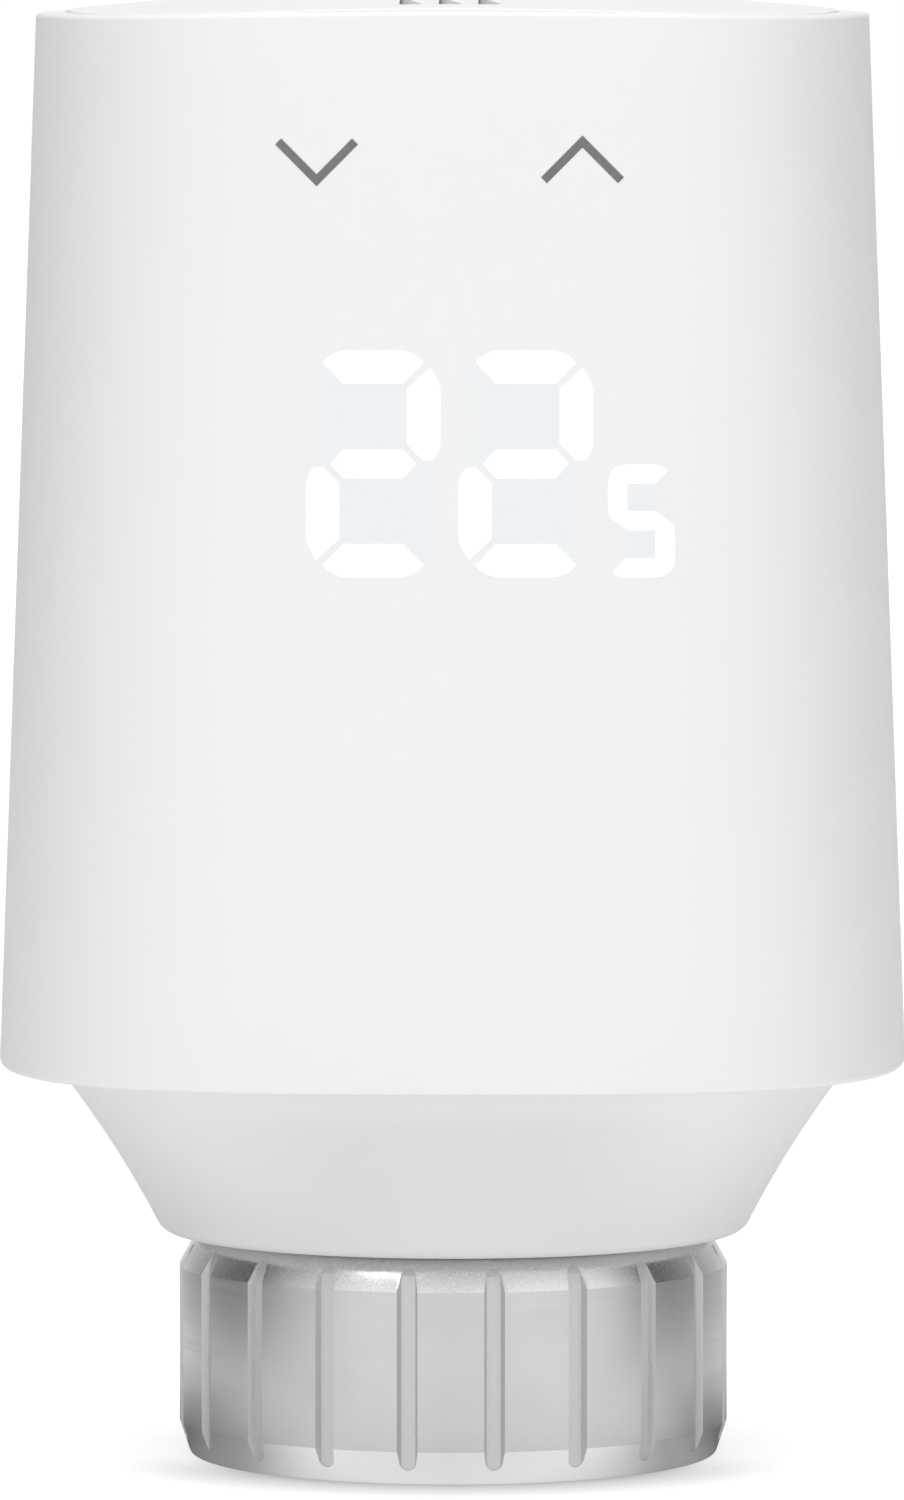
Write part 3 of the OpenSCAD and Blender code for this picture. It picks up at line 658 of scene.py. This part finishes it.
def make_collar():
    steps = 24
    foot_r = 1.1
    floor_t = COLLAR_FLOOR / COLLAR_H
    lip_clear = 0.3
    lip_z = SHELL_Z + lip_clear
    lean = math.degrees(math.atan2((COLLAR_HALF - COLLAR_R) * (1 - COLLAR_CURVE), COLLAR_H))
    foot_h = foot_r * (1 - math.sin(math.radians(lean)))
    start = foot_h / COLLAR_H
    foot_half = collar_half(start) - foot_r * math.cos(math.radians(lean))
    rings = fillet(foot_half, COLLAR_Z + foot_r, foot_r, -90, -lean, 12, collar_ring(start)[2])
    rings += [collar_ring(start + (1 - start) * k / steps) for k in range(1, steps + 1)]
    rings += [
        ring(COLLAR_HALF, lip_z),
        ring(LIP_HALF, lip_z),
        ring(LIP_HALF - TAPER * (LIP_TOP_Z - lip_z), LIP_TOP_Z),
        ring(COLLAR_HALF - COLLAR_WALL, LIP_TOP_Z),
    ]
    rings += [collar_ring(floor_t + (1 - floor_t) * k / steps, COLLAR_WALL) for k in range(steps, -1, -1)]
    rings += [ring(NECK_R, COLLAR_Z + COLLAR_FLOOR, 2), ring(NECK_R, COLLAR_Z, 2)]
    collar = loft("collar_skin", rings, loop=True)
    place(collar, "housing", "white_shell", collar_material(), "lower_collar")
    boss_z = COLLAR_Z + COLLAR_FLOOR
    boss_top = low("gearbox_base").z
    chamfer = 0.2
    profile = [(BOSS_HOLE_R, boss_z), (BOSS_R, boss_z), (BOSS_R, boss_top - chamfer),
               (BOSS_R - chamfer, boss_top), (BOSS_HOLE_R, boss_top)]
    for k, angle in enumerate(BOSS_ANGLES):
        boss = revolve(f"collar_boss_{k + 1}", profile, steps=48)
        a = math.radians(angle)
        boss.data.transform(moved(BOSS_PLACE_R * math.cos(a), BOSS_PLACE_R * math.sin(a)))
        place(boss, "housing", "white_shell", collar.data.materials[0])


def moved(x, y):
    return Matrix.Translation(Vector((x, y, 0)) * MM)


# ---- Union nut ----

def nut_outline():
    """The nut's outside from its open end upwards: rounding, chamfer, band, chamfer, rounding."""
    return [
        (NUT_R - 0.95, 0.0), (NUT_R - 0.82, 0.02), (NUT_R - 0.7, 0.09), (NUT_R - 0.62, 0.2),
        (NUT_R - 0.56, 0.37), (NUT_R - 0.02, 2.02), (NUT_R, 2.12),
        (NUT_R, NUT_H - 1.97), (NUT_R - 0.02, NUT_H - 1.9), (NUT_R - 0.64, NUT_H - 0.78),
        (NUT_R - 0.7, NUT_H - 0.68), (NUT_R - 0.8, NUT_H - 0.53), (NUT_R - 0.95, NUT_H - 0.35),
        (NUT_R - 1.15, NUT_H - 0.16), (NUT_R - 1.4, NUT_H - 0.03), (NUT_R - 1.6, NUT_H),
    ]


def outline_r(z):
    """Radius of the nut's outside at a height."""
    points = nut_outline()
    for (r0, z0), (r1, z1) in zip(points, points[1:]):
        if z0 <= z <= z1:
            return r0 + (r1 - r0) * (z - z0) / (z1 - z0)
    return points[-1][0]


def groove_rows():
    """Rows of a groove from end to end: height, depth, half width at the surface and at the floor.

    The floor is level, and runs out just under the chamfers. The ends are round.
    """
    floor_half = GROOVE_FLOOR_W / 2
    slope = (GROOVE_W - GROOVE_FLOOR_W) / 2
    run_out = 0.05
    least_half = 0.004
    end_steps = 14
    low_end = GROOVE_LOW + floor_half
    high_end = GROOVE_HIGH - floor_half
    beyond = [floor_half * math.cos(math.pi / 2 * k / end_steps) for k in range(end_steps + 1)]
    heights = {low_end - b for b in beyond} | {high_end + b for b in beyond}
    heights |= {z for r, z in nut_outline() if low_end < z < high_end}
    rows = []
    for z in sorted(heights):
        past = max(low_end - z, z - high_end, 0.0)
        half = math.sqrt(max(floor_half ** 2 - past ** 2, 0.0)) + least_half
        depth = max(outline_r(z) - NUT_R + GROOVE_DEPTH, run_out)
        rows.append((z, depth, half + slope * depth / GROOVE_DEPTH * half / floor_half, half))
    return rows


def groove_cutter():
    """Plugs for all the grooves. Each has a flat floor, sloping walls and round ends."""
    clear = 0.08
    spread = clear * (GROOVE_W - GROOVE_FLOOR_W) / 2 / GROOVE_DEPTH
    verts = []
    faces = []
    for i in range(GROOVES):
        a = -math.pi / 2 + 2 * math.pi * (i + 0.5) / GROOVES
        out = (math.cos(a), math.sin(a))
        base = len(verts)
        rows = groove_rows()
        for z, depth, half, floor_half in rows:
            surface = outline_r(z)
            for r, u in ((surface - depth, -floor_half), (surface - depth, floor_half),
                         (surface + clear, half + spread), (surface + clear, -half - spread)):
                verts.append((r * out[0] - u * out[1], r * out[1] + u * out[0], z))
        for k in range(len(rows) - 1):
            a0 = base + 4 * k
            faces += [(a0 + m, a0 + (m + 1) % 4, a0 + 4 + (m + 1) % 4, a0 + 4 + m) for m in range(4)]
        last = base + 4 * (len(rows) - 1)
        faces += [(base + 3, base + 2, base + 1, base), (last, last + 1, last + 2, last + 3)]
    cutter = new_object("groove_cutter", verts, faces)
    dress(cutter, groove_material())
    return cutter


def thread_radius(z, a):
    """Radius of the female thread: crests at the bore and roots a thread's depth out."""
    phase = (z / THREAD_PITCH - a / (2 * math.pi)) % 1.0
    depth = THREAD_ROOT_R - THREAD_R
    flank = 1.35
    crest = 0.17
    first_z = 0.9
    fade_in = 0.5
    fade_out = 0.4
    rise = max(0.0, min(1.0, (0.5 - abs(phase - 0.5)) / 0.5 * flank - crest))
    start = min(1.0, max(0.0, (z - first_z) / fade_in))
    end = min(1.0, max(0.0, (THREAD_Z + THREAD_LEN - z) / fade_out))
    return THREAD_R + depth * rise * start * end


def make_nut():
    """The nut, with its grooves cut out of it. The grooves keep the cutter's own material."""
    seat_z = 11.0
    relief_r = THREAD_R + 1
    mouth = 0.7
    rows = 72
    top = THREAD_Z + THREAD_LEN
    inside = [(NECK_R, NUT_H), (NECK_R, seat_z), (relief_r, seat_z), (relief_r, top)]
    bore = [(THREAD_R, top - (top - mouth) * k / rows) for k in range(rows + 1)]

    def radius(r, z, a):
        return thread_radius(z, a) if r == THREAD_R else r

    nut = revolve("nut_skin", [(THREAD_R + mouth, 0.0)] + nut_outline() + inside + bore, radius)
    dress(nut, materials["nickel_nut"])
    cut_away(nut, groove_cutter())
    smooth(nut)
    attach(nut, "nut")
    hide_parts("union_nut")


# ---- Digits and keys on the front wall ----

def bend(points, start, end, corner):
    """Points along a quadratic curve from start to end, pulled towards corner."""
    steps = 8
    for k in range(steps + 1):
        t = k / steps
        points.append(tuple(
            (1 - t) ** 2 * start[i] + 2 * t * (1 - t) * corner[i] + t * t * end[i] for i in (0, 1)))
    return points


def turned(outline):
    return [(-u, -v) for u, v in outline]


def large_two():
    """The five lit segments of a large 2, centred."""
    w, h = 4.035, 6.785
    top = bend([], (-3.05, 6.02), (-1.43, h), (-2.4, h))
    bend(top, (1.43, h), (3.05, 6.02), (2.4, h))
    top += [(1.79, 4.72), (-1.79, 4.72)]
    side = bend([], (3.37, 5.75), (w, 4.1), (w, 5.0))
    bend(side, (w, 1.39), (3.49, 0.18), (w, 0.6))
    side += [(2.96, 0.18), (1.98, 1.15), (1.98, 4.46)]
    middle = [(-2.61, 0), (-1.78, 0.89), (1.8, 0.89), (2.6, 0), (1.78, -0.9), (-1.78, -0.9)]
    return {"top": top, "upper": side, "middle": middle, "lower": turned(side), "bottom": turned(top)}


def small_five():
    """The small 5, one continuous stroke, centred."""
    w, h = 2.03, 3.4
    outline = bend([], (0.62, h), (1.59, 2.96), (1.15, h))
    outline += [(0.86, 2.19), (-0.82, 2.19), (-0.82, 0.6), (0.8, 0.6)]
    bend(outline, (1.78, -0.08), (w, -0.67), (w, -0.3))
    bend(outline, (w, -2.18), (0.71, -h), (w, -h))
    bend(outline, (-1.07, -h), (-1.75, -2.97), (-1.5, -h))
    outline += [(-0.98, -2.19), (0.8, -2.19), (0.8, -0.6), (-0.82, -0.6)]
    bend(outline, (-1.78, 0.08), (-w, 0.72), (-w, 0.3))
    bend(outline, (-w, 2.1), (-0.8, h), (-w, h))
    return outline


def inset(outline, gap):
    """The outline with every side moved inwards by the gap."""
    area = sum(a[0] * b[1] - b[0] * a[1] for a, b in zip(outline, outline[1:] + outline[:1]))
    turn = 1 if area > 0 else -1
    moved_in = []
    for before, here, after in zip(outline[-1:] + outline[:-1], outline, outline[1:] + outline[:1]):
        one = Vector((before[1] - here[1], here[0] - before[0])).normalized() * turn
        two = Vector((here[1] - after[1], after[0] - here[0])).normalized() * turn
        step = (one + two) / (1 + one.dot(two)) * gap
        moved_in.append((here[0] + step.x, here[1] + step.y))
    return moved_in


def front_y(x, z):
    """Where the shell's front surface is, at a width and height."""
    half = shell_half(z)
    return -(half ** SQUARENESS - abs(x) ** SQUARENESS) ** (1 / SQUARENESS)


def wall_plate(name, outline, cx, cz):
    """A thin plate of the outline that follows the front wall, standing slightly proud of it."""
    bm = bmesh.new()
    verts = [bm.verts.new((cx + u, 0, cz + v)) for u, v in outline]
    bm.faces.new(verts)
    slice_w = 0.4
    first = min(v.co.x for v in verts)
    last = max(v.co.x for v in verts)
    for k in range(1, int((last - first) / slice_w) + 1):
        bmesh.ops.bisect_plane(bm, geom=bm.verts[:] + bm.edges[:] + bm.faces[:],
                               plane_co=(first + k * slice_w, 0, 0), plane_no=(1, 0, 0))
    for v in bm.verts:
        v.co.y = front_y(v.co.x, v.co.z) - PRINT_PROUD
    back = bmesh.ops.extrude_face_region(bm, geom=bm.faces[:])
    for v in [g for g in back["geom"] if isinstance(g, bmesh.types.BMVert)]:
        v.co.y += PRINT_PROUD + PRINT_SUNK
    weld = 0.0005
    bmesh.ops.remove_doubles(bm, verts=bm.verts, dist=weld)
    bmesh.ops.recalc_face_normals(bm, faces=bm.faces)
    bm.transform(Matrix.Scale(MM, 4))
    mesh = bpy.data.meshes.new(name)
    bm.to_mesh(mesh)
    bm.free()
    obj = bpy.data.objects.new(name, mesh)
    bpy.context.scene.collection.objects.link(obj)
    smooth(obj)
    return obj


def make_display():
    trim = 0.06
    for side, cx in (("left", -DIGIT_PITCH / 2), ("right", DIGIT_PITCH / 2)):
        for segment, outline in large_two().items():
            plate = wall_plate(f"digit_{side}_{segment}", inset(outline, trim), cx, DIGIT_Z)
            place(plate, "housing", "lit_diffuser", materials["lit_diffuser"])
    plate = wall_plate("digit_small", inset(small_five(), trim), SMALL_X, SMALL_Z)
    place(plate, "housing", "lit_diffuser", materials["lit_diffuser"])


def chevron(direction):
    """A chevron's outline, centred, pointing up for 1 and down for -1."""
    span, rise, stroke = 2.29, 2.3, 0.5
    length = math.hypot(span, rise)
    nx, nz = stroke / 2 * rise / length, stroke / 2 * span / length
    tip = stroke / 2 * length / span
    outline = [(-span - nx, -rise / 2 + nz), (0, rise / 2 + tip), (span + nx, -rise / 2 + nz),
               (span - nx, -rise / 2 - nz), (0, rise / 2 - tip), (-span + nx, -rise / 2 - nz)]
    return [(u, v * direction) for u, v in outline]


def make_keys():
    ink = ink_material()
    for name, cx, direction in (("key_down", -KEY_X, -1), ("key_up", KEY_X, 1)):
        plate = wall_plate(name, chevron(direction), cx, KEY_Z)
        place(plate, "housing", "black_epoxy", ink)


# ---- Studio ----

# How bright the room is by direction: (degrees from the front, positive to the right, and tone)
ROOM_TONES = ((-180, 0.8), (-140, 0.48), (-118, 0.22), (-96, 0.1), (-66, 0.73), (-34, 1.16), (0, 1.01),
              (34, 1.17), (66, 1.07), (96, 0.08), (118, 0.3), (140, 0.52), (180, 0.8))


def room_tone(nodes, x, y):
    """How bright the room is in a direction seen from above: front and back light, dim at the sides."""
    angle = nodes.math("ARCTAN2", x, nodes.math("MULTIPLY", y, -1.0))
    turn = nodes.math("ADD", nodes.math("DIVIDE", angle, 2 * math.pi), 0.5)
    return nodes.ramp(turn, *[(degrees / 360 + 0.5, grey(value)) for degrees, value in ROOM_TONES])


def make_floor():
    """A wide round floor. The camera sees it white, with a shadow where the nut stands on it.

    As a light it takes the room's tones, with an even ring around the object and a dimmer foot.
    """
    bpy.ops.mesh.primitive_circle_add(vertices=96, radius=6.0, fill_type="NGON", location=(0, 0, 0))
    floor = bpy.context.active_object
    floor.name = "studio_floor"
    s = Shader("studio_floor", grey(0.3), 0.7, Specular_IOR_Level=0.1)
    s.to("Base Color", s.ramp(s.noise(3.0), (0.3, grey(0.295)), (0.7, grey(0.305))))
    x, y, z = s.axes()
    away = s.math("SQRT", s.math("ADD", s.math("MULTIPLY", x, x), s.math("MULTIPLY", y, y)))
    inner_edge = s.spread(away, 32 * MM, 55 * MM, 0.0, 1.0)
    outer_edge = s.spread(away, 60 * MM, 140 * MM, 1.0, 0.0)
    even = s.math("MULTIPLY", inner_edge, outer_edge)
    foot = s.spread(away, 20 * MM, 27 * MM, 1.0, 0.0)
    level = s.blend(foot, 0.66, s.spread(y, -17 * MM, -9 * MM, 0.6, 0.2))
    bounce = s.math("MULTIPLY", s.mix(even, room_tone(s, x, y), grey(1.0)), level)
    seen = s.node("LightPath").outputs["Is Camera Ray"]
    contact = s.node("AmbientOcclusion", samples=8)
    contact.inputs["Distance"].default_value = 7 * MM
    shadow = s.spread(contact.outputs["AO"], 0.45, 1.0, 0.66, 0.0, "LINEAR")
    in_front = s.spread(y, -14 * MM, -2 * MM, 1.0, 0.18)
    shade = s.math("SUBTRACT", 1.0, s.math("MULTIPLY", shadow, in_front))
    s.set("Emission Color", (1.0, 1.0, 1.0, 1.0))
    s.to("Emission Strength", s.blend(seen, bounce, s.math("MULTIPLY", shade, 0.86)))
    dress(floor, s.mat)


def make_world():
    """A white room to the camera. As light it has the room's tones, dimmer higher up, and a bright top."""
    world = bpy.data.worlds.new("studio")
    bpy.context.scene.world = world
    world.use_nodes = True
    room = Nodes(world.node_tree)
    room.tree.nodes.clear()
    x, y, z = room.split(room.node("TexCoord").outputs["Generated"])
    overhead = room.spread(z, 0.92, 0.97, 0.0, 1.0)
    light = room.node("Background")
    room.link(room.mix(overhead, room_tone(room, x, y), grey(9.2)), light.inputs["Color"])
    room.link(room.spread(z, 0.25, 0.6, 1.0, 0.62), light.inputs["Strength"])
    seen = room.node("Background")
    seen.inputs["Color"].default_value = (1.0, 1.0, 1.0, 1.0)
    seen.inputs["Strength"].default_value = 1.02
    blend = room.node("MixShader")
    room.link(room.node("LightPath").outputs["Is Camera Ray"], blend.inputs["Fac"])
    room.link(light.outputs[0], blend.inputs[1])
    room.link(seen.outputs[0], blend.inputs[2])
    room.link(blend.outputs[0], room.node("OutputWorld").inputs["Surface"])


def softbox(name, place_mm, target_mm, width, height, watts):
    data = bpy.data.lights.new(name, "AREA")
    data.shape = "RECTANGLE"
    data.size = width
    data.size_y = height
    data.energy = watts
    obj = bpy.data.objects.new(name, data)
    obj.location = Vector(place_mm) * MM
    aim(obj, Vector(target_mm) * MM)
    bpy.context.scene.collection.objects.link(obj)


def aim(obj, target):
    obj.rotation_euler = (target - obj.location).to_track_quat("-Z", "Y").to_euler()


def make_lights():
    softbox("key_high_left", (-395, -565, 578), (0, 0, 10), 0.28, 0.28, 0.62)


def make_camera():
    data = bpy.data.cameras.new("camera")
    data.sensor_fit = "VERTICAL"
    data.sensor_height = 36.0
    data.lens = 264.8
    data.clip_end = 50.0
    distance = 682.0
    yaw = math.radians(0.5)
    target = Vector((-0.08, 0.0, 43.66))
    obj = bpy.data.objects.new("camera", data)
    obj.location = Vector((distance * math.sin(yaw), -distance * math.cos(yaw), 89.2)) * MM
    aim(obj, target * MM)
    bpy.context.scene.collection.objects.link(obj)
    bpy.context.scene.camera = obj


make_camera()
make_world()
make_lights()
make_floor()
dress_cad_nodes()
make_shell()
make_cover()
make_collar()
make_nut()
make_display()
make_keys()
bpy.context.scene.view_settings.view_transform = "Standard"
